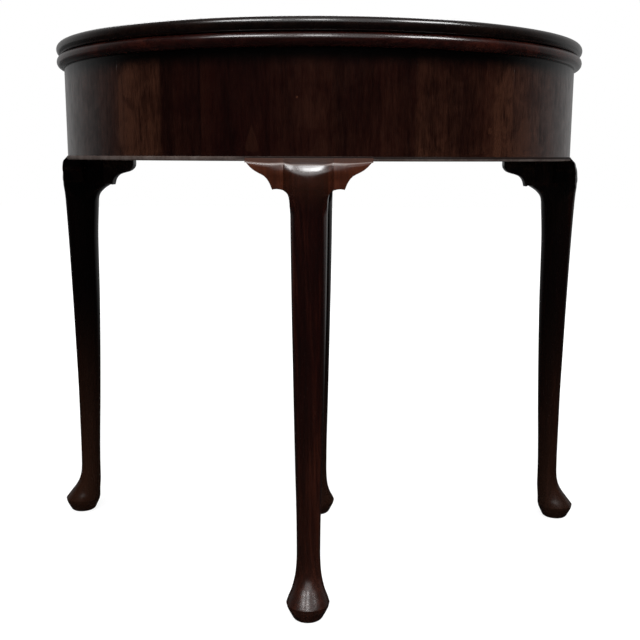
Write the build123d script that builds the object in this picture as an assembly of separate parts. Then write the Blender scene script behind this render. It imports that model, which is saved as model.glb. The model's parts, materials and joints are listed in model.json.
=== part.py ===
from build123d import *
from math import asin, cos, degrees, hypot, pi, sin
import os

# A half-round card table. Two half-round leaves lie one on the other and are hinged along the
# straight back edge. The upper one is the flap: it folds back to make a full circle. The frame
# under them is a curved veneered apron on a leg at the front and a leg at each back corner.
# A fourth leg hangs on a wooden knuckle hinge behind, and swings out to carry the open flap.
# Millimetres, Z up, X to the right, Y to the back. The construction is laid out about the
# centre of the half circle, on the floor, and moved to the middle of the table at the end.

# Leaves
leaf_radius = 388.0
leaf_thickness = 17.0
table_height = 726.0
leaf_back_inset = 0.3
leaf_overhang = 10.0
baize_border = 46.0
baize_hinge_border = 8.0
baize_thickness = 1.0
baize_sink = 0.2

# Curved apron
apron_height = 128.0
veneer_thickness = 1.4
glue_line = 0.1
core_thickness = 24.0
veneer_seam_shares = (0.0, 0.279, 0.39, 0.462, 0.607, 0.729, 1.0)
bricks_per_side = 4
course_names = ("bottom", "middle", "top")
bead_height = 5.5
bead_proud = 2.0

# Leg tops, called posts, and the places of the legs
post_width = 58.0
post_depth = 53.0
end_leg_angle = 5.0
end_leg_back_inset = 3.5
gate_leg_inset = 40.0

# Leg shape: widths are across the leg, depths are towards the toe
sole_width = 36.0
foot_width = 54.2
foot_rise = 20.0
toe_reach = 35.0
ankle_width = 29.8
ankle_height = 82.0
ankle_back = 6.3
shoulder_width = 44.6
shoulder_depth = 49.4
shoulder_drop = 61.0
shoulder_back = 9.6
knee_reach = 17.5
knee_side_reach = 12.0
knee_slope_share = 0.33
head_swell = 7.0
head_flare_start_share = 0.5
head_flare_shares = (0.22, 0.8)
knee_belly_shares = (0.85, 0.75)
head_hollow_shares = (0.7, 0.57)
foot_shares = ((0.24, 0.5, 0.4, 0.39), (0.55, 0.89, 0.86, 0.87))
shin_shares = ((0.25, 0.25, 0.18, 0.65), (0.52, 0.58, 0.46, 1.0), (0.85, 0.89, 0.73, 0.86))
ankle_squareness = 2.0
shoulder_squareness = 2.8
knee_squareness = 3.4
section_points = 24

# Ear brackets beside the legs
bracket_width = 46.0
bracket_drop = 33.5
back_bracket_drop = 38.0
bracket_thickness = 22.0
bracket_cusp_share = 0.28
bracket_turn_share = 0.64
bracket_lobe_share = 0.4
bracket_lobe_middle_shares = (0.62, 0.42)
bracket_hollow_middle_shares = (0.36, 0.66)
bracket_underside_share = 0.955
bracket_sweep_share = 0.58
front_tip_height = 1.5
back_tip_height = 9.5
bracket_tip_proud = 2.5

# Back rails and the wooden knuckle hinge
rail_thickness = 24.0
rail_bottom_lift = 2.0
inner_rail_thickness = 20.0
gate_pivot_inset = 93.5
gate_clearance = 0.5
knuckle_count = 5
knuckle_gap = 0.3
shoulder_gap = 0.5
gate_pin_diameter = 7.0
running_clearance = 0.05
tenon_length = 38.0
tenon_thickness = 9.0
tenon_height = 88.0
peg_diameter = 8.0
peg_spacing = 44.0
peg_length = 36.0

# Stiffening pieces inside the frame
medial_rail_width = 22.0
medial_rail_height = 62.0
spacer_length = 56.0
spacer_height = 100.0
spacer_inset = 68.5
stop_end_inset = 71.0
block_length = 46.0
block_size = 22.0
block_place_shares = (0.13, 0.41, 0.69)

# Screws
wood_screw_diameter = 4.5
wood_screw_head = 9.0
wood_screw_head_height = 3.0
top_screw_length = 32.0
rail_screw_length = 62.0
slot_width = 1.0
slot_depth = 1.0

# Brass hinges of the flap
hinge_inset = 143.0
hinge_length = 64.0
hinge_plate_thickness = 2.0
hinge_plate_width = 14.5
hinge_barrel_radius = 3.0
hinge_barrel_clearance = 0.3
hinge_knuckle_count = 5
hinge_knuckle_gap = 0.2
hinge_pin_diameter = 2.4
hinge_screw_diameter = 2.6
hinge_screw_head = 5.0
hinge_screw_head_height = 1.4
hinge_screw_length = 16.0
hinge_screw_spacing = 22.0
hinge_screw_edge = 6.5

# Overrun of every cutting tool past the face that it cuts
overrun = 5.0

# Levels and radii that follow from the sizes above
fold_level = table_height - leaf_thickness
apron_top = fold_level - leaf_thickness
apron_bottom = apron_top - apron_height
apron_radius = leaf_radius - leaf_overhang
veneer_inner_radius = apron_radius - veneer_thickness
core_radius = veneer_inner_radius - glue_line
core_inner_radius = core_radius - core_thickness
post_inner_radius = core_radius - post_depth
bead_radius = apron_radius + bead_proud
bracket_level = apron_bottom - bracket_drop
back_bracket_level = apron_bottom - back_bracket_drop
shoulder_height = apron_bottom - shoulder_drop
rail_bottom = apron_bottom + rail_bottom_lift
rail_height = apron_top - rail_bottom
gate_top = apron_top - gate_clearance
rail_back = -gate_leg_inset
rail_front = rail_back - rail_thickness
rail_middle = rail_back - rail_thickness / 2
inner_rail_back = rail_back - post_depth - gate_clearance
inner_rail_front = inner_rail_back - inner_rail_thickness
gate_pivot_x = post_inner_radius - gate_pivot_inset
half_post = post_width / 2
sole_centre = core_radius + toe_reach - foot_width / 2
front_reach = core_radius + toe_reach
course_height = apron_height / len(course_names)
hinge_place_x = leaf_radius - hinge_inset
hinge_places = (-hinge_place_x, hinge_place_x)
front_angle = -90.0
leg_angles = {"front": front_angle, "right": -end_leg_angle, "left": end_leg_angle - 180.0}

# The origin is on the floor under the middle of the table's box
to_origin = Pos(0, (front_reach - hinge_barrel_radius) / 2, 0)

os.makedirs("parts", exist_ok=True)


def write(name, *solids):
    """Move the solids to the table's origin and write them as one piece."""
    placed = [to_origin * solid for solid in solids]
    shape = placed[0] if len(placed) == 1 else Compound(children=placed)
    shape.label = name
    export_step(shape, f"parts/{name}.step")


def box_between(x_range, y_range, z_range):
    """A box from its two corners, given as a range on each axis."""
    sizes = [high - low for low, high in (x_range, y_range, z_range)]
    middles = [(high + low) / 2 for low, high in (x_range, y_range, z_range)]
    return Pos(*middles) * Box(*sizes)


def ring_sector(inner, outer, bottom, top, start, end):
    """Part of a ring about the vertical axis, between two angles."""
    middle = Pos((inner + outer) / 2, (bottom + top) / 2)
    section = Plane.XZ * middle * Rectangle(outer - inner, top - bottom)
    return Rot(0, 0, start) * revolve(section, Axis.Z, end - start)


def between(first, last, share):
    """The value that lies a share of the way from the first to the last."""
    return first + (last - first) * share


def only_solid(shape):
    """The largest solid of a result, free of any wrapping."""
    return max(shape.solids(), key=lambda solid: solid.volume)


# Leaves and baize

def half_disc(radius, bottom, top):
    """A flat half disc in front of the hinge line."""
    whole = Pos(0, 0, (bottom + top) / 2) * Cylinder(radius, top - bottom)
    return whole & box_between((-radius, radius), (-radius, 0), (bottom, top))


def leaf_blank(bottom):
    """A half-round leaf with a half-round nose along its curved edge."""
    nose = leaf_thickness / 2
    straight = leaf_radius - nose
    outline = Polyline((straight, 0), (0, 0), (0, leaf_thickness), (straight, leaf_thickness))
    edge = ThreePointArc((straight, leaf_thickness), (leaf_radius, nose), (straight, 0))
    section = Plane.XZ * make_face([*outline.edges(), edge])
    disc = Rot(0, 0, 180) * revolve(section, Axis.Z, 180)
    keep = box_between((-leaf_radius, leaf_radius), (-leaf_radius, -leaf_back_inset), (0, leaf_thickness))
    return Pos(0, 0, bottom) * (disc & keep)


def baize_sheet(level, side):
    """The cloth of one leaf. Side is -1 below the fold level and 1 above it."""
    near = level + side * baize_sink
    far = near + side * baize_thickness
    sheet = half_disc(leaf_radius - baize_border, min(near, far), max(near, far))
    return sheet & box_between(
        (-leaf_radius, leaf_radius), (-leaf_radius, -baize_hinge_border), (min(near, far), max(near, far)))


def baize_recess(level, side):
    """The shallow bed that the cloth is glued into."""
    sheet = baize_sheet(level, side)
    return sheet + Pos(0, 0, -side * baize_sink) * sheet


# Brass hinges: a plate in each leaf's back edge and a barrel on the fold line

def hinge_barrel_cut(place):
    """Room for a hinge's barrel in the corner of a leaf."""
    cutter = Cylinder(hinge_barrel_radius + hinge_barrel_clearance, hinge_length)
    return Pos(place, 0, fold_level) * Rot(0, 90, 0) * cutter


def hinge_plate_blank(place, side):
    """The flat plate, let in flush with the leaf's back edge."""
    ends = (place - hinge_length / 2, place + hinge_length / 2)
    depth = (-leaf_back_inset - hinge_plate_thickness, -leaf_back_inset)
    reach = sorted((fold_level, fold_level + side * hinge_plate_width))
    return box_between(ends, depth, tuple(reach))


def hinge_screw_places(place, side):
    """Where one plate's three screws stand, and their level."""
    level = fold_level + side * (hinge_plate_width - hinge_screw_edge)
    return [(place + step * hinge_screw_spacing, level) for step in (-1, 0, 1)]


def screw(diameter, head, head_height, length):
    """A countersunk screw with a slotted head. Its head's face is at zero and it points down."""
    taper = Pos(0, 0, -head_height / 2) * Cone(diameter / 2, head / 2, head_height)
    shank = Pos(0, 0, -(length + head_height) / 2) * Cylinder(diameter / 2, length - head_height)
    slot = box_between((-head, head), (-slot_width / 2, slot_width / 2), (-slot_depth, slot_depth))
    return only_solid(taper + shank - slot)


def screw_room(diameter, head, head_height, length):
    """The hole that the same screw fills."""
    taper = Pos(0, 0, -head_height / 2) * Cone(diameter / 2, head / 2, head_height)
    shank = Pos(0, 0, -(length + head_height) / 2) * Cylinder(diameter / 2, length - head_height)
    return taper + shank


hinge_screw_sizes = (hinge_screw_diameter, hinge_screw_head, hinge_screw_head_height, hinge_screw_length)
wood_screw_sizes = (wood_screw_diameter, wood_screw_head, wood_screw_head_height)


def into_back_edge(x, z):
    """The place of a screw that is driven forwards into a back edge."""
    return Pos(x, -leaf_back_inset, z) * Rot(-90, 0, 0)


def hinge_plate(place, side):
    """One plate with its share of the barrel's knuckles. The lower plate has the end ones."""
    blank = hinge_plate_blank(place, side)
    pitch = hinge_length / hinge_knuckle_count
    first = 0 if side < 0 else 1
    own = []
    other = []
    for number in range(hinge_knuckle_count):
        middle = place - hinge_length / 2 + (number + 0.5) * pitch
        mine = number % 2 == first
        length = pitch - hinge_knuckle_gap if mine else pitch
        radius = hinge_barrel_radius if mine else hinge_barrel_radius + hinge_barrel_clearance
        knuckle = Pos(middle, 0, fold_level) * Rot(0, 90, 0) * Cylinder(radius, length)
        (own if mine else other).append(knuckle)
    plate = blank + own - other
    pin_room = hinge_pin_diameter / 2 + (0 if side < 0 else running_clearance)
    plate -= Pos(place, 0, fold_level) * Rot(0, 90, 0) * Cylinder(pin_room, hinge_length + overrun)
    for x, z in hinge_screw_places(place, side):
        plate -= into_back_edge(x, z) * screw_room(*hinge_screw_sizes)
    return only_solid(plate)


def hinge_pin(place):
    """The steel pin through a barrel."""
    return Pos(place, 0, fold_level) * Rot(0, 90, 0) * Cylinder(hinge_pin_diameter / 2, hinge_length)


def hinge_screws(side):
    """The screws of both plates on one leaf."""
    places = [spot for place in hinge_places for spot in hinge_screw_places(place, side)]
    return [into_back_edge(x, z) * screw(*hinge_screw_sizes) for x, z in places]


def leaf_with_hinge_room(bottom, side):
    """A leaf with its cloth bed, hinge housings and screw holes."""
    leaf = leaf_blank(bottom) - baize_recess(fold_level, side)
    for place in hinge_places:
        leaf -= hinge_plate_blank(place, side)
        leaf -= hinge_barrel_cut(place)
        for x, z in hinge_screw_places(place, side):
            leaf -= into_back_edge(x, z) * screw_room(*hinge_screw_sizes)
    return leaf


# Legs, each built with its toe towards +X at the frame's radius and then turned into place

def rounded_section(height, width, depth, back, squareness):
    """A closed outline between an ellipse and a rectangle. Squareness 2 is the ellipse."""
    points = []
    for number in range(section_points):
        turn = 2 * pi * number / section_points
        reach = (abs(cos(turn)) ** squareness + abs(sin(turn)) ** squareness) ** (-1 / squareness)
        points.append((depth / 2 * reach * cos(turn), width / 2 * reach * sin(turn)))
    outline = Spline(*points, periodic=True)
    return Pos(core_radius - back, 0, height) * make_face([outline])


def shank():
    """The leg below its shoulder: a round foot, a thin ankle and a slowly swelling shin."""
    sole_back = core_radius - sole_centre
    sole = rounded_section(0, sole_width, sole_width, sole_back, ankle_squareness)
    rim = rounded_section(foot_rise, foot_width, foot_width, sole_back, ankle_squareness)
    ankle = rounded_section(ankle_height, ankle_width, ankle_width, ankle_back, ankle_squareness)
    instep = [
        rounded_section(
            between(foot_rise, ankle_height, height), between(foot_width, ankle_width, width),
            between(foot_width, ankle_width, depth), between(sole_back, ankle_back, back), ankle_squareness)
        for height, width, depth, back in foot_shares]
    shin = [
        rounded_section(
            between(ankle_height, shoulder_height, height), between(ankle_width, shoulder_width, width),
            between(ankle_width, shoulder_depth, depth), between(ankle_back, shoulder_back, back),
            between(ankle_squareness, shoulder_squareness, height))
        for height, width, depth, back in shin_shares]
    shoulder = rounded_section(
        shoulder_height, shoulder_width, shoulder_depth, shoulder_back, shoulder_squareness)
    pad = loft([sole, rim], ruled=True)
    foot = loft([rim, *instep, ankle])
    upper = loft([ankle, *shin, shoulder])
    return pad + foot + upper


def head_from_the_front():
    """The leg's head as sawn from the front: it spreads in a hollow curve to the brackets."""
    narrow = shoulder_width / 2
    start = between(shoulder_height, bracket_level, head_flare_start_share)
    across, up = head_flare_shares
    middle = (between(narrow, half_post, across), between(shoulder_height, bracket_level, up))
    outline = [
        Line((narrow, shoulder_height), (narrow, start)),
        ThreePointArc((narrow, start), middle, (half_post, bracket_level)),
        Line((half_post, bracket_level), (half_post, apron_bottom)),
        Line((half_post, apron_bottom), (0, apron_bottom)),
        Line((0, apron_bottom), (0, shoulder_height)),
        Line((0, shoulder_height), (narrow, shoulder_height)),
    ]
    half = Plane.YZ * make_face(outline)
    reach = core_radius + knee_reach + overrun
    side = extrude(half, reach)
    return side + mirror(side, Plane.XZ)


def head_from_the_side():
    """The leg's head as sawn from the side: a full knee outside and a hollow curve inside."""
    outer_low = core_radius - shoulder_back + shoulder_depth / 2
    inner_low = core_radius - shoulder_back - shoulder_depth / 2
    knee = core_radius + knee_reach
    arris = apron_bottom - (knee - bead_radius) * knee_slope_share
    out, up = knee_belly_shares
    belly = (between(outer_low, knee, out), between(shoulder_height, arris, up))
    inward, rise = head_hollow_shares
    hollow_level = between(shoulder_height, back_bracket_level, rise)
    hollow = (between(post_inner_radius, inner_low, inward), hollow_level)
    outline = [
        Line((inner_low, shoulder_height), (outer_low, shoulder_height)),
        ThreePointArc((outer_low, shoulder_height), belly, (knee, arris)),
        Line((knee, arris), (bead_radius, apron_bottom)),
        Line((bead_radius, apron_bottom), (post_inner_radius, apron_bottom)),
        Line((post_inner_radius, apron_bottom), (post_inner_radius, back_bracket_level)),
        ThreePointArc((post_inner_radius, back_bracket_level), hollow, (inner_low, shoulder_height)),
    ]
    return extrude(Plane.XZ * make_face(outline), post_width / 2 + overrun, both=True)


def head_rounding():
    """A body that rounds the head's corners and gives the knee its bowed front."""
    shoulder = rounded_section(
        shoulder_height, shoulder_width, shoulder_depth, shoulder_back, shoulder_squareness)
    rows = []
    for height in (bracket_level, apron_bottom):
        depth = post_depth + knee_reach + head_swell
        back = depth / 2 - knee_reach
        rows.append(rounded_section(height, post_width + 2 * head_swell, depth, back, knee_squareness))
    return loft([shoulder, *rows], ruled=True)


def slope_cut():
    """What is cleared above the sloped top of knees and brackets, outside the bead."""
    run = knee_reach + overrun
    points = ((bead_radius, apron_bottom), (bead_radius + run, apron_bottom - run * knee_slope_share),
              (bead_radius + run, apron_bottom + overrun), (bead_radius, apron_bottom + overrun))
    return revolve(Plane.XZ * make_face(Polyline(*points, close=True)), Axis.Z, 360)


slope = slope_cut()


def post(top, curved):
    """The square top of a leg, inside the apron, with its outer face on the core's curve."""
    blank = box_between(
        (post_inner_radius, core_radius), (-half_post, half_post), (bracket_level, top))
    if curved:
        round_face = Pos(0, 0, (bracket_level + top) / 2) * Cylinder(core_radius, top - bracket_level)
        full = box_between(
            (post_inner_radius, core_radius), (-half_post, half_post), (bracket_level, apron_bottom))
        blank = (blank & round_face) + full
    return blank


def leg(top, curved=True):
    """A whole leg with its foot, shin, knee and post."""
    head = head_from_the_front() & head_from_the_side() & head_rounding()
    whole = shank() + head + post(top, curved) - slope
    return only_solid(whole)


# Ear brackets

def bracket_outline(tip_height, drop):
    """A bracket seen from the front, from its joint with the leg out to its tip."""
    cusp = bracket_width * bracket_cusp_share
    turn = bracket_width * bracket_turn_share
    turn_level = -drop * bracket_lobe_share
    across, up = bracket_lobe_middle_shares
    lobe_middle = (between(turn, bracket_width, across), between(turn_level, -tip_height, up))
    across, up = bracket_hollow_middle_shares
    hollow_middle = (between(cusp, turn, across), between(-drop, turn_level, up))
    underside_middle = (cusp / 2, -drop * bracket_underside_share)
    return [
        Line((0, 0), (bracket_width, 0)),
        Line((bracket_width, 0), (bracket_width, -tip_height)),
        ThreePointArc((bracket_width, -tip_height), lobe_middle, (turn, turn_level)),
        ThreePointArc((turn, turn_level), hollow_middle, (cusp, -drop)),
        ThreePointArc((cusp, -drop), underside_middle, (0, -drop)),
        Line((0, -drop), (0, 0)),
    ]


def curved_bracket(rail_radius):
    """A bracket on the +Y side of a leg. Its face sweeps from the knee back to the rail."""
    outline = bracket_outline(front_tip_height, bracket_drop)
    raised = Pos(0, half_post, apron_bottom) * (Plane.YZ * make_face(outline))
    blank = extrude(raised, core_radius + knee_reach + overrun)
    tip = half_post + bracket_width
    tip_face = bracket_tip_proud + (rail_radius ** 2 - tip ** 2) ** 0.5 if rail_radius else core_radius
    knee_face = core_radius + knee_side_reach
    middle = (between(knee_face, tip_face, bracket_sweep_share), (half_post + tip) / 2)
    inner = core_radius - bracket_thickness
    tip_inner = inner - (core_radius - tip_face) / 2
    plan = [
        ThreePointArc((knee_face, half_post), middle, (tip_face, tip)),
        Line((tip_face, tip), (tip_inner, tip)),
        Line((tip_inner, tip), (inner, half_post)),
        Line((inner, half_post), (knee_face, half_post)),
    ]
    prism = Pos(0, 0, bracket_level) * extrude(make_face(plan), bracket_drop)
    return only_solid(blank & prism - slope)


def flat_bracket():
    """A bracket under a straight rail. It starts at zero and runs towards +X."""
    outline = bracket_outline(back_tip_height, back_bracket_drop)
    raised = Pos(0, 0, apron_bottom) * (Plane.XZ * make_face(outline))
    return Pos(0, rail_middle, 0) * extrude(raised, bracket_thickness / 2, both=True)


def place(angle, shape):
    """Turn a piece that was built towards +X to its angle about the table's centre."""
    return Rot(0, 0, angle) * shape


fixed_legs = {name: place(angle, leg(apron_top)) for name, angle in leg_angles.items()}
behind_posts = box_between(
    (-leaf_radius, leaf_radius), (-end_leg_back_inset, half_post), (bracket_level, apron_top))
for side in ("left", "right"):
    fixed_legs[side] = only_solid(fixed_legs[side] - behind_posts)
bracket = curved_bracket(apron_radius)
other_bracket = mirror(bracket, Plane.XZ)
brackets = {
    "front_leg_right_bracket": place(leg_angles["front"], bracket),
    "front_leg_left_bracket": place(leg_angles["front"], other_bracket),
    "right_leg_front_bracket": place(leg_angles["right"], other_bracket),
    "left_leg_front_bracket": place(leg_angles["left"], bracket),
}
left_back_bracket = Pos(-post_inner_radius, 0, 0) * flat_bracket()
back_brackets = {"left": left_back_bracket, "right": mirror(left_back_bracket, Plane.YZ)}
for side, shape in back_brackets.items():
    brackets[f"{side}_leg_back_bracket"] = only_solid(shape - fixed_legs[side])


# Curved apron: three courses of bricks, veneer sheets over them and a bead under the veneer

def without_legs(shape):
    """A frame piece with the room that the three fixed legs take."""
    for fixed_leg in fixed_legs.values():
        shape = shape - fixed_leg
    return only_solid(shape)


def brick_course(number):
    """One course of bricks. Every second course breaks joint with the others."""
    bottom = apron_bottom + number * course_height
    top = bottom + course_height
    bricks = []
    for start, end in ((leg_angles["left"], front_angle), (front_angle, leg_angles["right"])):
        pitch = (end - start) / bricks_per_side
        offset = number % 2 * pitch / 2
        edges = [start] + [start + offset + pitch * step for step in range(bricks_per_side + 1)] + [end]
        edges = sorted(set(edge for edge in edges if start <= edge <= end))
        for low, high in zip(edges, edges[1:]):
            brick = ring_sector(core_inner_radius, core_radius, bottom, top, low, high)
            bricks.append(without_legs(brick))
    return bricks


behind_apron = box_between(
    (-leaf_radius, leaf_radius), (-end_leg_back_inset, half_post), (apron_bottom, apron_top))


def veneer_sheet(number):
    """One sheet of veneer, between two seams."""
    start, end = [-180 * (1 - share) for share in veneer_seam_shares[number:number + 2]]
    sheet = ring_sector(
        veneer_inner_radius, apron_radius, apron_bottom + bead_height, apron_top, start, end)
    return only_solid(sheet - behind_apron)


def bead(start, end):
    """The rounded strip along the apron's lower edge."""
    low = apron_bottom
    high = apron_bottom + bead_height
    outline = [
        Line((veneer_inner_radius, low), (apron_radius, low)),
        ThreePointArc((apron_radius, low), (bead_radius, (low + high) / 2), (apron_radius, high)),
        Line((apron_radius, high), (veneer_inner_radius, high)),
        Line((veneer_inner_radius, high), (veneer_inner_radius, low)),
    ]
    strip = Rot(0, 0, start) * revolve(Plane.XZ * make_face(outline), Axis.Z, end - start)
    return only_solid(strip - behind_apron)


# Back rails, gate and the wooden hinge between them

knuckle_radius = rail_thickness / 2
knuckle_pitch = rail_height / knuckle_count
shoulder_x = knuckle_radius + shoulder_gap


def knuckles(first, towards):
    """A rail's share of the hinge fingers, from the pin out to the rail's shoulder."""
    fingers = []
    for number in range(first, knuckle_count, 2):
        bottom = rail_bottom + number * knuckle_pitch + knuckle_gap / 2 * (number > 0)
        top = rail_bottom + (number + 1) * knuckle_pitch - knuckle_gap / 2 * (number < knuckle_count - 1)
        middle = Pos(gate_pivot_x, rail_middle, (bottom + top) / 2)
        ends = sorted((gate_pivot_x, gate_pivot_x + towards * shoulder_x))
        fingers.append(middle * Cylinder(knuckle_radius, top - bottom))
        fingers.append(box_between(tuple(ends), (rail_front, rail_back), (bottom, top)))
    return fingers


def pin_room(clearance):
    """The hole for the gate's pin."""
    return Pos(gate_pivot_x, rail_middle, (rail_bottom + apron_top) / 2) * Cylinder(
        gate_pin_diameter / 2 + clearance, rail_height)


gate_corner_reach = hypot(gate_pivot_x + half_post, post_depth - rail_thickness / 2)
stop_rail_end = gate_pivot_x - gate_corner_reach - gate_clearance
rail_levels = (rail_bottom, apron_top)
stop_rail = without_legs(
    box_between((-post_inner_radius, stop_rail_end), (rail_front, rail_back), rail_levels))
knuckle_rail = without_legs(
    box_between((gate_pivot_x + shoulder_x, post_inner_radius), (rail_front, rail_back), rail_levels)
    + knuckles(0, 1) - pin_room(0))
gate_pin = pin_room(0)

tenon_middle = (rail_bottom + gate_top) / 2
tenon_levels = (tenon_middle - tenon_height / 2, tenon_middle + tenon_height / 2)
tenon = box_between(
    (half_post - tenon_length, half_post),
    (rail_middle - tenon_thickness / 2, rail_middle + tenon_thickness / 2), tenon_levels)
fly_rail = box_between(
    (half_post, gate_pivot_x - shoulder_x), (rail_front, rail_back), (rail_bottom, gate_top))
fly_rail = fly_rail + knuckles(1, -1) + tenon - pin_room(running_clearance)
peg_x = half_post - tenon_length / 2
peg_levels = (tenon_middle - peg_spacing / 2, tenon_middle + peg_spacing / 2)
pegs = [
    Pos(peg_x, rail_back - peg_length / 2, level) * Rot(90, 0, 0) * Cylinder(peg_diameter / 2, peg_length)
    for level in peg_levels]
to_gate = Pos(0, rail_back - core_radius, 0) * Rot(0, 0, 90)
gate_leg = to_gate * leg(gate_top, curved=False) - tenon - pegs
gate_bracket = to_gate * mirror(curved_bracket(None), Plane.XZ)
gate_bracket = gate_bracket + box_between(
    (half_post, half_post + bracket_width), (rail_front, rail_back), (apron_bottom, rail_bottom))
fly_rail = fly_rail - pegs


# Inner rail, medial rail, spacers and glue blocks

inside_core = Pos(0, 0, (rail_bottom + apron_top) / 2) * Cylinder(core_inner_radius, rail_height)
inner_rail = without_legs(box_between(
    (-core_inner_radius, core_inner_radius), (inner_rail_front, inner_rail_back), rail_levels) & inside_core)
medial_rail = box_between(
    (-medial_rail_width / 2, medial_rail_width / 2), (-post_inner_radius, inner_rail_front),
    (apron_top - medial_rail_height, apron_top))
rail_centre = (rail_bottom + apron_top) / 2
outer_spacer_x = core_inner_radius - spacer_inset
spacer_places = (-outer_spacer_x, stop_rail_end - stop_end_inset, outer_spacer_x)
spacers = [
    box_between(
        (x - spacer_length / 2, x + spacer_length / 2), (inner_rail_back, rail_front),
        (rail_centre - spacer_height / 2, rail_centre + spacer_height / 2))
    for x in spacer_places]
rail_end_angle = degrees(asin(inner_rail_front / core_inner_radius))
right_block_angles = [between(rail_end_angle, front_angle, share) for share in block_place_shares]
blocks = []
top_screw_spots = []
for angle in right_block_angles + [2 * front_angle - angle for angle in right_block_angles]:
    blank = box_between(
        (core_inner_radius - block_size, core_inner_radius + overrun),
        (-block_length / 2, block_length / 2), (apron_top - block_size, apron_top))
    blocks.append(place(angle, blank & inside_core))
    under_block = Pos(core_inner_radius - block_size / 2, 0, apron_top - block_size)
    top_screw_spots.append(place(angle, under_block))
upwards = Rot(180, 0, 0)
top_screw_sizes = (*wood_screw_sizes, top_screw_length)
top_screws = [spot * upwards * screw(*top_screw_sizes) for spot in top_screw_spots]
top_screw_rooms = [spot * upwards * screw_room(*top_screw_sizes) for spot in top_screw_spots]
blocks = [only_solid(block - room) for block, room in zip(blocks, top_screw_rooms)]

rail_screw_sizes = (*wood_screw_sizes, rail_screw_length)
rail_screw_spots = [
    Pos(x, rail_back, rail_centre + step * spacer_height / 4) * Rot(-90, 0, 0)
    for x in spacer_places for step in (-1, 1)]
rail_screws = [spot * screw(*rail_screw_sizes) for spot in rail_screw_spots]
rail_screw_rooms = [spot * screw_room(*rail_screw_sizes) for spot in rail_screw_spots]
stop_rail = only_solid(stop_rail - rail_screw_rooms)
knuckle_rail = only_solid(knuckle_rail - rail_screw_rooms)
inner_rail = only_solid(inner_rail - rail_screw_rooms)
spacers = [only_solid(spacer - rail_screw_rooms) for spacer in spacers]

# Writing every piece

write("fixed_leaf", only_solid(leaf_with_hinge_room(apron_top, -1) - top_screw_rooms))
write("flap_leaf", only_solid(leaf_with_hinge_room(fold_level, 1)))
write("fixed_leaf_baize", baize_sheet(fold_level, -1))
write("flap_baize", baize_sheet(fold_level, 1))
for side, place_x in zip(("left", "right"), hinge_places):
    write(f"{side}_hinge_fixed_plate", hinge_plate(place_x, -1))
    write(f"{side}_hinge_flap_plate", hinge_plate(place_x, 1))
    write(f"{side}_hinge_pin", hinge_pin(place_x))
write("fixed_plate_screws", *hinge_screws(-1))
write("flap_plate_screws", *hinge_screws(1))
for number, name in enumerate(course_names):
    write(f"{name}_brick_course", *brick_course(number))
for number in range(len(veneer_seam_shares) - 1):
    write(f"veneer_sheet_{number + 1}", veneer_sheet(number))
write("left_apron_bead", bead(-180, front_angle))
write("right_apron_bead", bead(front_angle, 0))
for name, shape in fixed_legs.items():
    write(f"{name}_leg", shape)
for name, shape in brackets.items():
    write(name, shape)
write("gate_leg", only_solid(gate_leg))
write("gate_bracket", only_solid(gate_bracket))
write("fly_rail", only_solid(fly_rail))
write("gate_pegs", *pegs)
write("gate_hinge_pin", gate_pin)
write("knuckle_rail", knuckle_rail)
write("stop_rail", stop_rail)
write("inner_back_rail", inner_rail)
write("medial_rail", medial_rail)
write("rail_spacers", *spacers)
write("glue_blocks", *blocks)
write("top_screws", *top_screws)
write("rail_screws", *rail_screws)
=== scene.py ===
import json
import math

import bmesh
import bpy
import numpy as np
from mathutils import Matrix, Vector


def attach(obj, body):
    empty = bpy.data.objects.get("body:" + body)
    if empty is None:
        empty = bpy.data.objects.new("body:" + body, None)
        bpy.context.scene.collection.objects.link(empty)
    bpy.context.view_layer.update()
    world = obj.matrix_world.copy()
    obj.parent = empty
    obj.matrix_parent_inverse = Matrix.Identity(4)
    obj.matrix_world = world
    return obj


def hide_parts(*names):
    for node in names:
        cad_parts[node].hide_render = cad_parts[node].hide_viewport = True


# A half-round mahogany card table. The sizes of its pieces are in millimetres, measured about the
# centre of the half circle at floor level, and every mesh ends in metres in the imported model's
# frame. CENTRE_Y, the materials, the lamps and the camera are in metres.

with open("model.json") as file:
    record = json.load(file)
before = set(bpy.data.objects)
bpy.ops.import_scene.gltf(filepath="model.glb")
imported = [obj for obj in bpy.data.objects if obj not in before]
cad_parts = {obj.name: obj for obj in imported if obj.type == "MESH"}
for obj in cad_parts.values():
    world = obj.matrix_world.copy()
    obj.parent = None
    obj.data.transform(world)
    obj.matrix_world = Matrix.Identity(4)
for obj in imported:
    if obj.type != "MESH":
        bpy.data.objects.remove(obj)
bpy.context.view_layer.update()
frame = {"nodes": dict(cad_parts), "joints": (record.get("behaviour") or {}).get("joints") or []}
MM = 0.001
CENTRE_Y = next(joint["pos_m"][1] for joint in frame["joints"] if joint["name"] == "flap_hinge")
TO_FRAME = Matrix.Translation((0, CENTRE_Y, 0)) @ Matrix.Scale(MM, 4)

LEAF_RADIUS = 388.0
LEAF_THICKNESS = 17.0
LEAF_BACK = -0.3
LEAF_RINGS = (0.0, 120.0, 250.0, 340.0, 344.0, 361.0)
FOLD_LEVEL = 709.0
APRON_TOP = FOLD_LEVEL - LEAF_THICKNESS
APRON_BOTTOM = 564.0
APRON_RADIUS = 378.0
VENEER = (376.6, APRON_RADIUS)
CORE_RADIUS = 376.5
CORE_INNER = 352.5
BEAD_HEIGHT = 5.5
BEAD_PROUD = 2.0
BRACKET_LEVEL = 530.5
HALF_POST = 29.0
POST_DEPTH = 53.0
END_LEG_ANGLE = 5.0
END_LEG_BACK = -3.5
RAIL_BACK = -40.0
RAIL_FRONT = -64.0
RAIL_THICKNESS = RAIL_BACK - RAIL_FRONT
GATE_TOP = 691.5
BAIZE_BORDER = 46.0
BAIZE_HINGE_BORDER = 8.0
BED_DEPTH = 1.2
CLOTH_THICKNESS = 1.0
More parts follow.
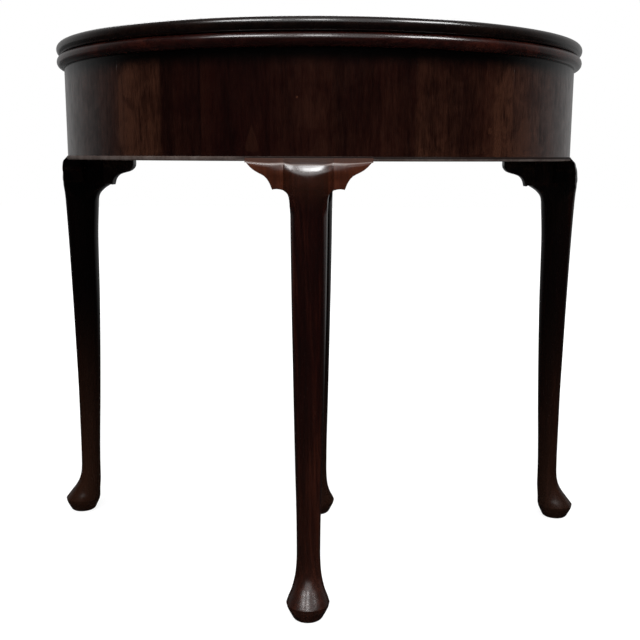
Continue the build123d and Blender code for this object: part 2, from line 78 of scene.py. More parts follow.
HINGE_PLACES = (-245.0, 245.0)
HINGE_LENGTH = 64.0
PLATE_ROOM = (-2.3, 3.0)
PLATE_DEPTH = 14.5
KNUCKLE_ROOM = 3.3


# Node trees

def sum_of(operation, swapped=False):
    """A method that adds a Math node. Swapped puts the wire after the other value."""
    def work(wire, *others):
        terms = (*others, wire) if swapped else (wire, *others)
        return wire.bench.add("ShaderNodeMath", dict(enumerate(terms)), operation=operation)
    return work


class Wire:
    """A socket of a node tree that takes part in sums."""

    def __init__(self, bench, socket):
        self.bench, self.socket = bench, socket

    __add__ = __radd__ = sum_of("ADD")
    __mul__ = __rmul__ = sum_of("MULTIPLY")
    __sub__, __rsub__ = sum_of("SUBTRACT"), sum_of("SUBTRACT", True)
    __truediv__, __rtruediv__ = sum_of("DIVIDE"), sum_of("DIVIDE", True)
    __pow__ = sum_of("POWER")
    least, most, size = sum_of("MINIMUM"), sum_of("MAXIMUM"), sum_of("ABSOLUTE")
    sine, cosine, bearing = sum_of("SINE"), sum_of("COSINE"), sum_of("ARCTAN2")

    def rise(self, low, high):
        """0 below low and 1 above high, with a soft rise between them."""
        return self.bench.add("ShaderNodeMapRange", {
            "Value": self, "From Min": low, "From Max": high}, interpolation_type="SMOOTHSTEP")

    def part(self, name):
        """Another output of the same node."""
        return Wire(self.bench, self.socket.node.outputs[name])


class Bench:
    """Lays nodes on a tree. A node's settings are made before its sockets get values or wires."""

    def __init__(self, tree):
        self.tree = tree

    def add(self, kind, inputs=None, output=0, **settings):
        node = self.tree.nodes.new(kind)
        for name, value in settings.items():
            if name == "stops":
                ramp = node.color_ramp.elements
                while len(ramp) < len(value):
                    ramp.new(1.0)
                for stop, (place, shade) in zip(ramp, value):
                    stop.position, stop.color = place, (*shade, 1.0)
            else:
                setattr(node, name, value)
        for name, value in (inputs or {}).items():
            for entry in value if isinstance(value, list) else [value]:
                if isinstance(entry, Wire):
                    self.tree.links.new(entry.socket, node.inputs[name])
                else:
                    node.inputs[name].default_value = entry
        return Wire(self, node.outputs[output]) if node.outputs else None

    def blend(self, first, second, share):
        """Two colours mixed by a share."""
        colours = [c if isinstance(c, Wire) else (*c, 1.0) for c in (first, second)]
        return self.add("ShaderNodeMix", {0: share, 6: colours[0], 7: colours[1]}, 2, data_type="RGBA")

    def noise(self, place, scale, detail=2.0, roughness=0.5, distortion=0.0):
        labels = ("Vector", "Scale", "Detail", "Roughness", "Distortion")
        values = (place, scale, detail, roughness, distortion)
        return self.add("ShaderNodeTexNoise", dict(zip(labels, values)))

    def own_place(self):
        """Where a point lies in its object, which is its place in the frame."""
        return self.add("ShaderNodeTexCoord", None, "Object")

    def axes(self, place):
        spot = self.add("ShaderNodeSeparateXYZ", {"Vector": place})
        return spot.part("X"), spot.part("Y"), spot.part("Z")

    def mapped(self, place, **moves):
        return self.add("ShaderNodeMapping", {"Vector": place, **moves})


# Finishes. Shades laid on the polish: wear from time and use, painted light and shade, and parts that are
# browner or darker.

RUBBED = (0.085, 0.042, 0.026)
SCUFFED = (0.055, 0.027, 0.017)
# Browner towards the floor, on the legs' shins
SHIN_BROWN = (0.055, 0.021, 0.011)
# Painted light: the knee and brackets grow lighter and redder towards their tops, where the light from above
# falls
KNEE_PAINTED_LIGHT = (0.06, 0.017, 0.006)
# Painted sheen of the light from above on the sloped top of the knee and brackets
SLOPE_PAINTED_SHEEN = (0.044, 0.025, 0.019)
# Painted highlight along the arris of the knee and brackets
ARRIS_PAINTED_HIGHLIGHT = (0.3, 0.25, 0.23)
# Painted shadow under the leaf's overhang, on the apron's top
UNDER_LEAF_PAINTED_SHADOW = (0.0006, 0.0002, 0.0002)
# Darker on the bead's upper half
BEAD_TOP_DARK = (0.006, 0.0025, 0.0018)

# The veneer's light bands, as the share of the way round from the left and how light it is there
BANDS = (
    (0, 0.3), (0.1853, 0.28), (0.2759, 0.26), (0.2792, 0.66), (0.2867, 0.74), (0.2935, 0.84),
    (0.3388, 0.66), (0.3437, 0.14), (0.389, 0.09), (0.4034, 0.05), (0.461, 0.07), (0.5, 0.17),
    (0.5291, 0.17), (0.5437, 0.13), (0.571, 0.11), (0.5749, 0.16), (0.606, 0.15), (0.608, 0.48),
    (0.6264, 0.38), (0.6603, 0.27), (0.6845, 0.22), (0.697, 0.32), (0.7058, 0.86), (0.7285, 0.9),
    (0.7305, 0.62), (0.7639, 0.54), (0.7947, 0.4), (1, 0.3))
# Pale scars on the veneer: share of the way round, height in metres, half width as a share,
# height of the scar, how far it tapers upwards and how light it is
MARKS = (
    (0.4435, 0.5735, 0.0095, 0.032, 0.92, 0.27), (0.6959, 0.5966, 0.0028, 0.0085, 0.0, 0.75),
    (0.7512, 0.5772, 0.016, 0.042, 0.35, 0.8), (0.4886, 0.6352, 0.0011, 0.0028, 0.0, 1.0),
    (0.2835, 0.592, 0.0048, 0.078, 0.35, 0.95))


def new_material(name):
    material = bpy.data.materials.new(name)
    material.use_nodes = True
    material.node_tree.nodes.clear()
    return material, Bench(material.node_tree)


def surface(bench, colour, roughness, height, depth, **even):
    """The surface shader. Colour and roughness may vary, height goes to a bump, the rest is even."""
    bump = bench.add("ShaderNodeBump", {"Strength": 1.0, "Distance": depth, "Height": height})
    inputs = {"Base Color": colour, "Roughness": roughness, "Normal": bump}
    for name, value in even.items():
        inputs[name.replace("_", " ").title().replace("Ior", "IOR")] = value
    shader = bench.add("ShaderNodeBsdfPrincipled", inputs)
    bench.add("ShaderNodeOutputMaterial", {"Surface": shader})


def grain_place(bench, grain, seed, turn, run=0.05):
    """The point's own place, the same moved by a seed, and that drawn out along the grain:
    the lower the run, the longer each streak."""
    own = bench.own_place()
    moved = bench.mapped(own, Location=(seed * 1.37, seed * 0.71, seed * 2.13), Rotation=(0, turn, turn))
    drawn = bench.mapped(moved, Scale=tuple(run if axis == grain else 1.0 for axis in "xyz"))
    return own, moved, drawn


def veneer_tone(bench, share, level, figure, cloud):
    """How light the veneer is, from its bands, its figure and the scars on it."""
    tone = bench.add("ShaderNodeValToRGB", {"Fac": share}, stops=[(s, (v, v, v)) for s, v in BANDS])
    low = (1.0 - level.rise(0.566, 0.615)) * share.rise(0.52, 0.6)
    tone = tone * (figure * 6.0 - 2.0).most(0.1) * (1.0 + 0.35 * low) * (0.55 + 0.8 * cloud)
    for around_share, foot, wide, tall, taper, strength in MARKS:
        rising = (level - foot) / tall
        reach = wide * (1.0 - taper * rising.most(0.0).least(1.0))
        aside = (share - around_share).size() / reach
        inside = 1.0 - (aside ** 2.0 + ((rising - 0.5) * 2.0) ** 4.0).rise(0.6, 1.2)
        tone = tone.most(inside * strength)
    return tone


def polished_wood(name, seed, dark, mid, light, grain="z", light_share=0.5, gloss=0.2, haze=0.06, coat=0.6,
                  haze_coat=0.14, coat_ior=1.5, shine=0.35, run=0.05, wear=1.0, scuff=0.0, shin_brown=0.0,
                  painted_knee_light_and_coat=0.0, bead_top_dark=0.0, banded=False):
    """Old french-polished mahogany: a dark ground, redder streaks, open pores and rubbed edges.
    On a leg the foot can be scuffed and dulled and the shin made browner towards the floor. The knee and
    brackets can get painted light from above: lighter towards their tops, a painted sheen on their sloped
    top and a painted highlight along the arris. The bead can be darker on its upper half. Banded wood is
    the apron's veneer, with a painted shadow under the leaf."""
    material, bench = new_material(name)
    own, place, drawn = grain_place(bench, grain, seed, 0.02, run)
    across, back, level = bench.axes(own)
    band = bench.noise(drawn, 34.0, 3.0, 0.55, 0.3)
    streak = bench.noise(drawn, 260.0, 5.0, 0.7, 0.2)
    patch = bench.noise(drawn, 9.0, 3.0, 0.6, 0.6)
    figure = 0.5 * band + 0.4 * streak + 0.1 * patch
    ground = bench.blend(dark, mid, figure.rise(0.38, 0.6))
    warmth = figure.rise(0.48, 0.68) * light_share
    if banded:
        fibre = bench.noise(drawn, 640.0, 3.0, 0.6)
        cloud = bench.noise(place, 38.0, 4.0, 0.6, 0.8).rise(0.3, 0.68)
        share = 0.5 + across.bearing(CENTRE_Y - back) / math.pi
        tone = veneer_tone(bench, share, level, 0.3 * band + 0.4 * streak + 0.3 * fibre, cloud)
        warmth = (warmth * 0.12 + tone).least(1.0)
        coat = coat * (0.4 + 1.2 * (0.5 * fibre + 0.4 * streak + 0.1 * cloud).rise(0.35, 0.65))
        # Painted shadow under the leaf's overhang: the coat thins here
        coat = coat * (1.0 - 0.6 * level.rise(0.672, 0.69))
    wood = bench.blend(ground, light, warmth)
    if banded:
        # Painted shadow under the leaf's overhang: the colour goes almost black
        wood = bench.blend(wood, UNDER_LEAF_PAINTED_SHADOW, level.rise(0.668, 0.687) * 0.95)
    pores = bench.noise(drawn, 1100.0).rise(0.6, 0.7)
    wood = bench.blend(wood, dark, pores * 0.6)
    rubbed = bench.add("ShaderNodeAttribute", None, "Fac", attribute_name="rubbed")
    rough_edge = bench.noise(place, 60.0, 4.0, 0.7).rise(0.38, 0.62)
    worn = (rubbed * (0.35 + 0.65 * rough_edge) * wear).least(1.0)
    wood = bench.blend(wood, RUBBED, worn * 0.4)
    smear = bench.noise(drawn, 24.0, 4.0, 0.65, 0.3).rise(0.3, 0.8)
    askew = bench.mapped(place, Rotation=(0.5, 0.9, 0.4), Scale=(1.0, 0.03, 1.0))
    scratch = bench.noise(askew, 420.0, 1.0).rise(0.69, 0.73)
    roughness = gloss + haze * smear + 0.06 * pores + 0.05 * scratch + 0.12 * worn
    if scuff:
        high = level.rise(0.5, 0.547)
        # Painted highlight along the arris of the knee and brackets, laid on the rubbed edge, with the coat
        # thinned under it
        arris = rubbed * level.rise(0.5565, 0.5595) * painted_knee_light_and_coat
        # Painted sheen of the light from above on the sloped top, with the coat thinned under it
        slope = level.rise(0.5612, 0.5642) * painted_knee_light_and_coat
        speckle = bench.noise(place, 480.0, 4.0, 0.7).rise(0.36, 0.64)
        scuffed = (1.0 - level.rise(0.025, 0.1)) * (0.2 + 0.3 * rough_edge + 0.5 * speckle) * scuff
        # The shin grows browner towards the floor
        browned = (1.0 - level.rise(0.0, 0.4)) * (0.6 + 0.8 * streak) * shin_brown
        # Painted light on the knee and brackets, lighter towards their tops; then the painted sheen, the
        # painted highlight, the scuffed foot and the browner shin
        for shade, share in (
                (KNEE_PAINTED_LIGHT, level.rise(0.5, 0.552) * painted_knee_light_and_coat * 0.3), (SLOPE_PAINTED_SHEEN, slope * 0.65),
                (ARRIS_PAINTED_HIGHLIGHT, arris * 0.7), (SCUFFED, scuffed * 0.12), (SHIN_BROWN, browned)):
            wood = bench.blend(wood, shade, share)
        roughness = roughness + 0.08 * scuffed
        coat = coat * (1.0 - 0.85 * scuffed) * (1.0 - 0.85 * arris.most(slope))
        coat = coat * (1.0 - painted_knee_light_and_coat * 0.4 * (1.0 - high))
        coat = coat * (1.0 - painted_knee_light_and_coat * 0.7 * across.size().rise(0.016, 0.025) * high)
    if bead_top_dark:
        # Darker on the bead's upper half, most from just left of the front leg rightwards
        right = across.rise(-0.105, -0.065)
        wood = bench.blend(wood, BEAD_TOP_DARK, level.rise(0.5655, 0.5675) * (0.3 + 0.68 * right) * bead_top_dark)
    surface(bench, wood, roughness, 0.3 * streak - 0.4 * pores - 0.1 * scratch, 0.00002,
            specular_ior_level=shine, coat_weight=coat, coat_roughness=haze_coat, coat_ior=coat_ior)
    return material


def dry_wood(name, grain, dark, light, seed=0.0, ring_scale=34.0):
    """Unpolished wood inside the frame, dry and a little dusty."""
    material, bench = new_material(name)
    _, place, drawn = grain_place(bench, grain, seed, 0.03)
    ring = bench.noise(drawn, ring_scale, 4.0, 0.6, 1.2)
    fibre = bench.noise(drawn, 420.0, 5.0, 0.7)
    stain = bench.noise(place, 9.0, 4.0, 0.6, 0.5)
    wood = bench.blend(dark, light, (0.7 * ring + 0.3 * fibre).rise(0.35, 0.65))
    wood = bench.blend(wood, tuple(0.45 * c for c in dark), stain.rise(0.5, 0.72) * 0.7)
    surface(bench, wood, 0.62 + 0.2 * fibre, 0.6 * fibre + 0.4 * ring, 0.00025, specular_ior_level=0.3)
    return material


def woollen_cloth(name):
    """Green baize: felted wool, rubbed thin in places."""
    material, bench = new_material(name)
    place = bench.own_place()
    nap = bench.noise(place, 900.0, 5.0, 0.75)
    clump = bench.noise(place, 160.0, 3.0, 0.6, 0.5)
    fade = bench.noise(place, 6.0, 3.0, 0.6, 0.6)
    felt = (0.6 * nap + 0.4 * clump).rise(0.35, 0.65)
    cloth = bench.blend((0.012, 0.05, 0.022), (0.03, 0.095, 0.045), felt)
    cloth = bench.blend(cloth, (0.06, 0.12, 0.055), fade.rise(0.5, 0.8) * 0.5)
    surface(bench, cloth, 0.92 + 0.05 * nap, nap + 0.5 * clump, 0.0003,
            specular_ior_level=0.15, sheen_weight=0.25, sheen_roughness=0.5)
    return material


def old_metal(name, bright, dull, roughness, spots):
    """Dulled metal with darker spots in its tarnish."""
    material, bench = new_material(name)
    place = bench.own_place()
    cloud = bench.noise(place, 90.0, 5.0, 0.65, 0.5)
    pit = bench.noise(place, 700.0, 3.0, 0.6)
    brushed = bench.noise(bench.mapped(place, Scale=(0.05, 1, 1)), 1500.0)
    tarnish = cloud.rise(0.35, 0.7)
    metal = bench.blend(bright, dull, tarnish)
    metal = bench.blend(metal, tuple(0.3 * c for c in dull), pit.rise(0.58, 0.7) * spots)
    surface(bench, metal, roughness + 0.2 * tarnish + 0.1 * brushed, 0.6 * pit + 0.4 * brushed, 0.00004,
            metallic=1.0)
    return material


# Mesh work

def place_object(name, data):
    thing = bpy.data.objects.new(name, data)
    bpy.context.scene.collection.objects.link(thing)
    return thing


def smooth(mesh, angle):
    mesh.shade_smooth()
    mesh.set_sharp_from_angle(angle=math.radians(angle))


def dressed(name, mesh, material):
    """A piece in the scene, of one material."""
    mesh.materials.clear()
    mesh.materials.append(material)
    smooth(mesh, 35.0)
    return place_object(name, mesh)


def new_piece(name, mesh, material):
    """A mesh in millimetres about the circle's centre becomes a piece in the frame."""
    mesh.transform(TO_FRAME)
    return dressed(name, mesh, material)


def settle(piece):
    """Keeps what the modifiers made as a plain mesh."""
    evaluated = piece.evaluated_get(bpy.context.evaluated_depsgraph_get())
    made = bpy.data.meshes.new_from_object(evaluated)
    old = piece.data
    piece.modifiers.clear()
    piece.data = made
    bpy.data.meshes.remove(old)
    return piece


def ease_edges(piece, width, segments=2, angle=40.0):
    """Rounds the sharp edges by a width in millimetres, as use has."""
    bevel = piece.modifiers.new("eased", "BEVEL")
    bevel.width, bevel.segments = width * MM, segments
    bevel.limit_method, bevel.angle_limit = "ANGLE", math.radians(angle)
    bevel.miter_outer = "MITER_ARC"
    settle(piece)
    smooth(piece.data, 40.0)


LEAST_BEND = 0.1
FULL_BEND = 0.35
UPRIGHT = 0.45


def mark_rubbed(piece, upright_glued):
    """Notes how far each corner of the mesh lies on an outward edge, where hands and cloths rub.
    Upright edges are left out where they are glue joints."""
    made = bmesh.new()
    made.from_mesh(piece.data)
    values = []
    for corner in made.verts:
        edges = [edge for edge in corner.link_edges if not upright_glued or abs(
            edge.verts[0].co.z - edge.verts[1].co.z) < UPRIGHT * edge.calc_length()]
        bends = [edge.calc_face_angle_signed(0.0) for edge in edges]
        values.append(min(1.0, max(0.0, max(bends + [0.0]) - LEAST_BEND) / (FULL_BEND - LEAST_BEND)))
    made.free()
    layer = piece.data.attributes.new("rubbed", "FLOAT", "POINT")
    layer.data.foreach_set("value", values)


def stand_in(piece, body, node):
    """The piece rides on a body in a node's place."""
    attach(piece, body)
    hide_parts(node)


def hand_over(piece, body, slot, node, width, segments=2, angle=40.0, upright_glued=False):
    """Gives a piece its worn edges and puts it in its node's place."""
    ease_edges(piece, width, segments, angle)
    mark_rubbed(piece, upright_glued)
    stand_in(piece, body, node)


def grid_shell(rows):
    """A shell through rows of points. Each row is a closed loop, and the end rows are capped."""
    count = len(rows[0])
    faces = []
    for row in range(len(rows) - 1):
        for step in range(count):
            here, there = row * count + step, row * count + (step + 1) % count
            faces.append((here, there, there + count, here + count))
    faces.append(tuple(reversed(range(count))))
    faces.append(tuple(range((len(rows) - 1) * count, len(rows) * count)))
    mesh = bpy.data.meshes.new("shell")
    mesh.from_pydata([tuple(point) for row in rows for point in row], [], faces)
    tidy_mesh(mesh)
    return mesh


def tidy_mesh(mesh, distance=0.002):
    """Merges doubled points and turns every face outwards."""
    made = bmesh.new()
    made.from_mesh(mesh)
    bmesh.ops.remove_doubles(made, verts=made.verts, dist=distance)
    bmesh.ops.dissolve_degenerate(made, edges=made.edges, dist=distance / 2)
    bmesh.ops.recalc_face_normals(made, faces=made.faces)
    if made.calc_volume(signed=True) < 0:
        bmesh.ops.reverse_faces(made, faces=made.faces)
    made.to_mesh(mesh)
    made.free()


def box_mesh(x_range, y_range, z_range):
    made = bmesh.new()
    bmesh.ops.create_cube(made, size=1.0)
    for point in made.verts:
        for axis, (low, high) in enumerate((x_range, y_range, z_range)):
            point.co[axis] = low + (point.co[axis] + 0.5) * (high - low)
    mesh = bpy.data.meshes.new("box")
    made.to_mesh(mesh)
    made.free()
    return mesh


def cut(piece, meshes):
    """Takes the given meshes out of a piece."""
    for mesh in meshes:
        mesh.transform(TO_FRAME)
        tool = place_object("tool", mesh)
        boolean = piece.modifiers.new("cut", "BOOLEAN")
        boolean.operation, boolean.solver, boolean.object = "DIFFERENCE", "EXACT", tool
        settle(piece)
        bpy.data.objects.remove(tool)


def worn_copy(node, name, material, width, body, slot):
    """A CAD node's own shape with eased edges, in place of the node."""
    mesh = frame["nodes"][node].data.copy()
    made = bmesh.new()
    made.from_mesh(mesh)
    bmesh.ops.remove_doubles(made, verts=made.verts, dist=1e-6)
    bmesh.ops.dissolve_limit(
        made, angle_limit=math.radians(0.5), verts=made.verts, edges=made.edges, delimit={"NORMAL"})
    made.to_mesh(mesh)
    made.free()
    hand_over(dressed(name, mesh, material), body, slot, node, width, angle=32.0)


def curve_through(rows, heights):
    """Smooth values at the given heights, through rows of (height, value, ...)."""
    table = np.array(rows, float)
    levels, values = table[:, 0], table[:, 1:]
    steps = np.diff(levels)[:, None]
    slopes = np.diff(values, axis=0) / steps
    tangents = np.zeros_like(values)
    tangents[0], tangents[-1] = slopes[0], slopes[-1]
    for row in range(1, len(levels) - 1):
        before, after = slopes[row - 1], slopes[row]
        same = before * after > 0
        safe = np.where(same, before + after, 1.0)
        tangents[row] = np.where(same, 2 * before * after / safe, 0.0)
    found = []
    for height in heights:
        row = int(np.clip(np.searchsorted(levels, height) - 1, 0, len(levels) - 2))
        span = levels[row + 1] - levels[row]
        t = (height - levels[row]) / span
        found.append(
            (2 * t ** 3 - 3 * t ** 2 + 1) * values[row] + (t ** 3 - 2 * t ** 2 + t) * span * tangents[row]
            + (3 * t ** 2 - 2 * t ** 3) * values[row + 1] + (t ** 3 - t ** 2) * span * tangents[row + 1])
    return np.array(found)


# Legs. Each is built with its toe along X at the frame's radius. A section has a height, an outer
# reach and an inner reach from the core's radius, a half width and a squareness (2 is an ellipse).
# A section of the head also has the half width at which its sides are flat, before the squareness.

FOOT_ROWS = [
    (20.0, 35.0, -18.6, 27.1, 2.0), (26.0, 30.4, -18.9, 24.9, 2.0), (33.0, 24.9, -19.2, 21.6, 2.0),
    (43.0, 17.5, -20.1, 18.5, 2.0), (54.0, 12.0, -20.8, 16.3, 2.0), (66.0, 9.3, -20.9, 15.3, 2.0),
    (77.0, 8.5, -21.0, 14.9, 2.0), (112.0, 8.0, -22.0, 15.1, 2.05), (187.0, 8.0, -25.3, 16.8, 2.1),
    (275.0, 9.3, -28.4, 18.7, 2.2), (348.0, 10.6, -30.2, 20.1, 2.35), (362.0, 10.9, -30.4, 20.4, 2.4),
    (442.0, 12.9, -31.2, 21.5, 2.55), (503.0, 15.0, -34.3, 22.1, 2.7)]
HEAD_ROWS = [
    (503.0, 15.0, -34.3, 22.1, 22.1, 2.7), (508.0, 15.3, -35.2, 23.4, 22.1, 2.7),
    (512.0, 15.5, -36.8, 25.2, 22.15, 2.75), (516.0, 15.7, -40.0, 27.6, 22.25, 2.75),
    (519.0, 15.9, -43.0, 30.0, 22.4, 2.8), (522.0, 16.1, -47.0, 33.0, 22.8, 2.8),
    (525.0, 16.3, -52.0, 36.4, 23.5, 2.8), (527.5, 16.45, -56.0, 39.4, 25.0, 2.6),
    (529.3, 16.55, -58.0, 42.0, 27.0, 2.5)]
KNEE_ROWS = [
    (530.5, 16.6, 2.4), (534.0, 17.4, 2.3), (537.0, 17.35, 2.3), (541.0, 17.0, 2.3), (545.5, 16.4, 2.5),
    (549.5, 15.5, 2.85), (552.5, 14.45, 3.15), (554.7, 13.46, 3.3), (556.7, 12.44, 3.4), (558.2, 11.58, 3.6),
    (559.6, 10.75, 3.7), (562.0, 9.75, 3.7), (566.0, 8.4, 3.7), (572.0, 7.5, 3.7)]
HEAD_ROWS += [(height, outer, -60.0, 44.0, HALF_POST, squareness) for height, outer, squareness in KNEE_ROWS]
PAD_ROWS = [
    (0.0, 25.6, -8.8, 16.8), (1.2, 27.2, -10.4, 18.4), (6.0, 29.9, -13.0, 21.2), (10.6, 32.2, -15.2, 23.6),
    (15.3, 34.2, -17.4, 25.9), (19.2, 34.9, -18.4, 26.9)]
PAD_LEVELS = (0.0, 0.4, 1.2, 3.0, 5.0, 7.5, 10.0, 12.5, 15.3, 17.4, 19.2)
SHIN_TOP = 503.0
SHIN_MIDDLE = (15.0 - 34.3) / 2
KNEE_MIDDLE = -21.25
FLAT_START = 0.62
SLOPE_SHARE = 1.15
SLOPE_REACH = 8.6
SLOPE_START = 0.8
SLOPE_TOP = APRON_BOTTOM + BEAD_HEIGHT
SLOPE_STEPS = (0.14, 0.3, 0.66)


def around():
    """Turns about a section. The four places where the flat sides begin are always among them."""
    front = math.asin(FLAT_START)
    ends = (0.0, front, math.pi / 2, math.pi - front, math.pi)
    turns = [start + (end - start) * step / 14 for start, end in zip(ends, ends[1:]) for step in range(14)]
    return turns + [turn + math.pi for turn in turns]


def section(outer, inner, half_width, squareness, turns, side_limit=math.inf, inner_limit=-math.inf,
            middle=None):
    """One loop of points in plan, cut flat at the limits."""
    middle = (outer + inner) / 2 if middle is None else middle
    loop = []
    for turn in turns:
        c, s = math.cos(turn), math.sin(turn)
        reach = (abs(c) ** squareness + abs(s) ** squareness) ** (-1 / squareness)
        along = middle + (outer - middle if c > 0 else middle - inner) * reach * c
        across = half_width * reach * s
        loop.append((max(inner_limit, along), max(-side_limit, min(side_limit, across))))
    return loop


def slope_height(along, across, curved):
    """The height of the sloped moulding that runs over the knees and brackets."""
    out = math.hypot(CORE_RADIUS + along, across) - APRON_RADIUS if curved else along
    return SLOPE_TOP - max(0.0, out - SLOPE_START) * SLOPE_SHARE


def leg_shell(top, curved):
    """A whole leg as one shell: foot pad, foot, shin, knee with its sloped top, and post."""
    turns = around()
    rows = []
    for height in PAD_LEVELS:
        outer, inner, half = curve_through(PAD_ROWS, [height])[0]
        rows.append([(a, b, height) for a, b in section(outer, inner, half, 2.0, turns)])
    for height in (20.0, *np.linspace(21.5, 100.0, 34), *np.linspace(106.0, 500.0, 42)):
        outer, inner, half, squareness = curve_through(FOOT_ROWS, [height])[0]
        rows.append([(a, b, height) for a, b in section(outer, inner, half, squareness, turns)])
    lowest_slope = SLOPE_TOP - SLOPE_REACH * SLOPE_SHARE
    for height in [*np.linspace(SHIN_TOP, BRACKET_LEVEL, 18), *np.linspace(533.0, lowest_slope - 0.5, 14)]:
        outer, inner, half, limit, squareness = curve_through(HEAD_ROWS, [height])[0]
        share = min(1.0, (height - SHIN_TOP) / (BRACKET_LEVEL - SHIN_TOP))
        middle = SHIN_MIDDLE * (1 - share) + KNEE_MIDDLE * share
        rows.append([(a, b, height) for a, b in
                     section(outer, inner, half, squareness, turns, limit, -POST_DEPTH, middle)])
    # The knee ends in an arris, whose height follows from how far out it stands at each turn
    levels = [lowest_slope] * len(turns)
    for _ in range(12):
        shapes = curve_through(HEAD_ROWS, levels)
        knee = [section(outer, inner, half, squareness, [turn], limit, -POST_DEPTH, KNEE_MIDDLE)[0]
                for turn, (outer, inner, half, limit, squareness) in zip(turns, shapes)]
        levels = [min(slope_height(a, b, curved), SLOPE_TOP) for a, b in knee]
    arris = [(a, b, level) for (a, b), level in zip(knee, levels)]
    rows.append(arris)
    apron_face, post_face = [], []
    for a, b in knee:
        apron_limit, post_limit = 0.1, 0.0
        if curved:
            apron_limit = math.sqrt((APRON_RADIUS + 0.1) ** 2 - b * b) - CORE_RADIUS
            post_limit = math.sqrt(CORE_RADIUS ** 2 - b * b) - CORE_RADIUS
        apron_face.append((min(a, apron_limit), b, SLOPE_TOP))
        post_face.append((min(a, post_limit - 0.05), b))
    for share in (*SLOPE_STEPS, 1.0):
        rows.append([tuple(p + (q - p) * share for p, q in zip(first, last))
                     for first, last in zip(arris, apron_face)])
    for height in (SLOPE_TOP + 0.05, (SLOPE_TOP + top) / 2, top):
        rows.append([(a, b, height) for a, b in post_face])
    return grid_shell(rows)


def turned_to(mesh, angle):
    """Moves a mesh built along X from the core's radius to its angle, or to the gate's rail."""
    if angle is None:
        mesh.transform(Matrix.Translation((0, RAIL_BACK, 0)) @ Matrix.Rotation(math.radians(90), 4, "Z"))
    else:
        mesh.transform(Matrix.Translation((CORE_RADIUS, 0, 0)))
        mesh.transform(Matrix.Rotation(math.radians(angle), 4, "Z"))


def leg_piece(name, node, material, angle=None, top=APRON_TOP, body="frame"):
    """A leg turned to its angle about the table's centre, or hung on the gate."""
    mesh = leg_shell(top, angle is not None)
    turned_to(mesh, angle)
    if angle not in (None, -90):
        for point in mesh.vertices:
            if point.co.z > BRACKET_LEVEL - 1:
                point.co.y = min(point.co.y, END_LEG_BACK)
    tidy_mesh(mesh)
    hand_over(new_piece(name, mesh, material), body, "mahogany", node, 0.9, 3, 30.0, True)


# Ear brackets. The outline gives the underside's drop below the apron at each distance from the leg.

BRACKET_OUTLINE = [
    (0.0, 33.2), (4.0, 32.1), (8.0, 31.7), (11.0, 32.0), (13.1, 32.5), (14.2, 30.0), (15.6, 26.4),
    (17.4, 23.0), (19.8, 19.6), (22.6, 16.9), (26.0, 15.0), (29.7, 13.2), (33.0, 11.5), (36.2, 9.4),
    (39.4, 6.7), (42.0, 3.9), (44.0, 1.4), (45.4, -1.6), (46.0, -3.4)]
BACK_OUTLINE = [
    (0.0, 37.6), (4.0, 36.7), (8.0, 36.3), (10.5, 36.8), (12.9, 38.0), (13.6, 35.5), (14.4, 32.2),
    (16.2, 28.0), (18.6, 24.8), (21.5, 22.5), (26.0, 20.7), (31.0, 19.4), (36.0, 18.0), (40.0, 16.2),
    (43.0, 13.7), (45.2, 10.4), (46.0, 7.0), (46.0, 4.6)]

EAR_REACH = 46.0
EAR_INNER = -22.0
EAR_SEAT = 1.6
LEAST_EAR_FACE = 0.9
TIP_PROUD = 7.4
FLAT_TIP_PROUD = 0.6
SHOULDER = 1.3
SHOULDER_HEIGHT = 4.0
GATE_BLOCK_TOP = 566.0
FLAT_EAR_HALF = 11.0


def knee_flank(height):
    """How far the knee's flank stands out where a bracket meets it."""
    outer, inner, half, limit, squareness = curve_through(HEAD_ROWS, [height])[0]
    return KNEE_MIDDLE + (outer - KNEE_MIDDLE) * (1 - (HALF_POST / half) ** squareness) ** (1 / squareness)


def bracket_shell(curved, mirrored):
    """A bracket on the +Y side of a leg. Its rounded face sweeps from the knee back to the rail."""
    columns = []
    for out, drop in BRACKET_OUTLINE:
        across = HALF_POST + out
        share = out / EAR_REACH
        sweep = (1 - share) ** 1.2
        if curved:
            tip = math.sqrt((APRON_RADIUS + TIP_PROUD) ** 2 - across ** 2) - CORE_RADIUS
            inner, roof = EAR_INNER + (tip - 2) * share, APRON_BOTTOM
            start = math.sqrt(APRON_RADIUS ** 2 - across ** 2) - CORE_RADIUS + 0.1
        else:
            tip, inner, roof, start = FLAT_TIP_PROUD, -RAIL_THICKNESS, GATE_BLOCK_TOP, 0.1

        def face(height, fall):
            return tip + (knee_flank(height) - tip) * sweep - SHOULDER * (1 - sweep) * fall

        top = SLOPE_TOP - 5.0
        for _ in range(30):
            edge = face(top, 1.0)
            top = min(SLOPE_TOP - 0.4, slope_height(edge, across, curved))
        bottom = min(APRON_BOTTOM - drop, top - LEAST_EAR_FACE)
        loop = [(inner, roof), (inner, bottom)]
        for step in range(13):
            height = bottom + (top - bottom) * step / 12
            loop.append((face(height, max(0.0, 1 - (top - height) / SHOULDER_HEIGHT) ** 2), height))
        loop += [(edge + (start - edge) * step, top + (SLOPE_TOP - top) * step) for step in SLOPE_STEPS]
        loop += [(start, SLOPE_TOP), (start - EAR_SEAT, SLOPE_TOP), (start - EAR_SEAT, roof)]
        columns.append([(a, -across if mirrored else across, h) for a, h in loop])
    return grid_shell(columns)


def bracket_piece(name, node, material, angle=None, mirrored=True):
    """A bracket on the apron, or the gate's with the block that joins it to the rail."""
    mesh = bracket_shell(angle is not None, mirrored)
    turned_to(mesh, angle)
    tidy_mesh(mesh)
    body, *edges = ("gate", 0.5, 2, 30.0, False) if angle is None else ("frame", 0.8, 3, 30.0, True)
    hand_over(new_piece(name, mesh, material), body, "mahogany", node, *edges)


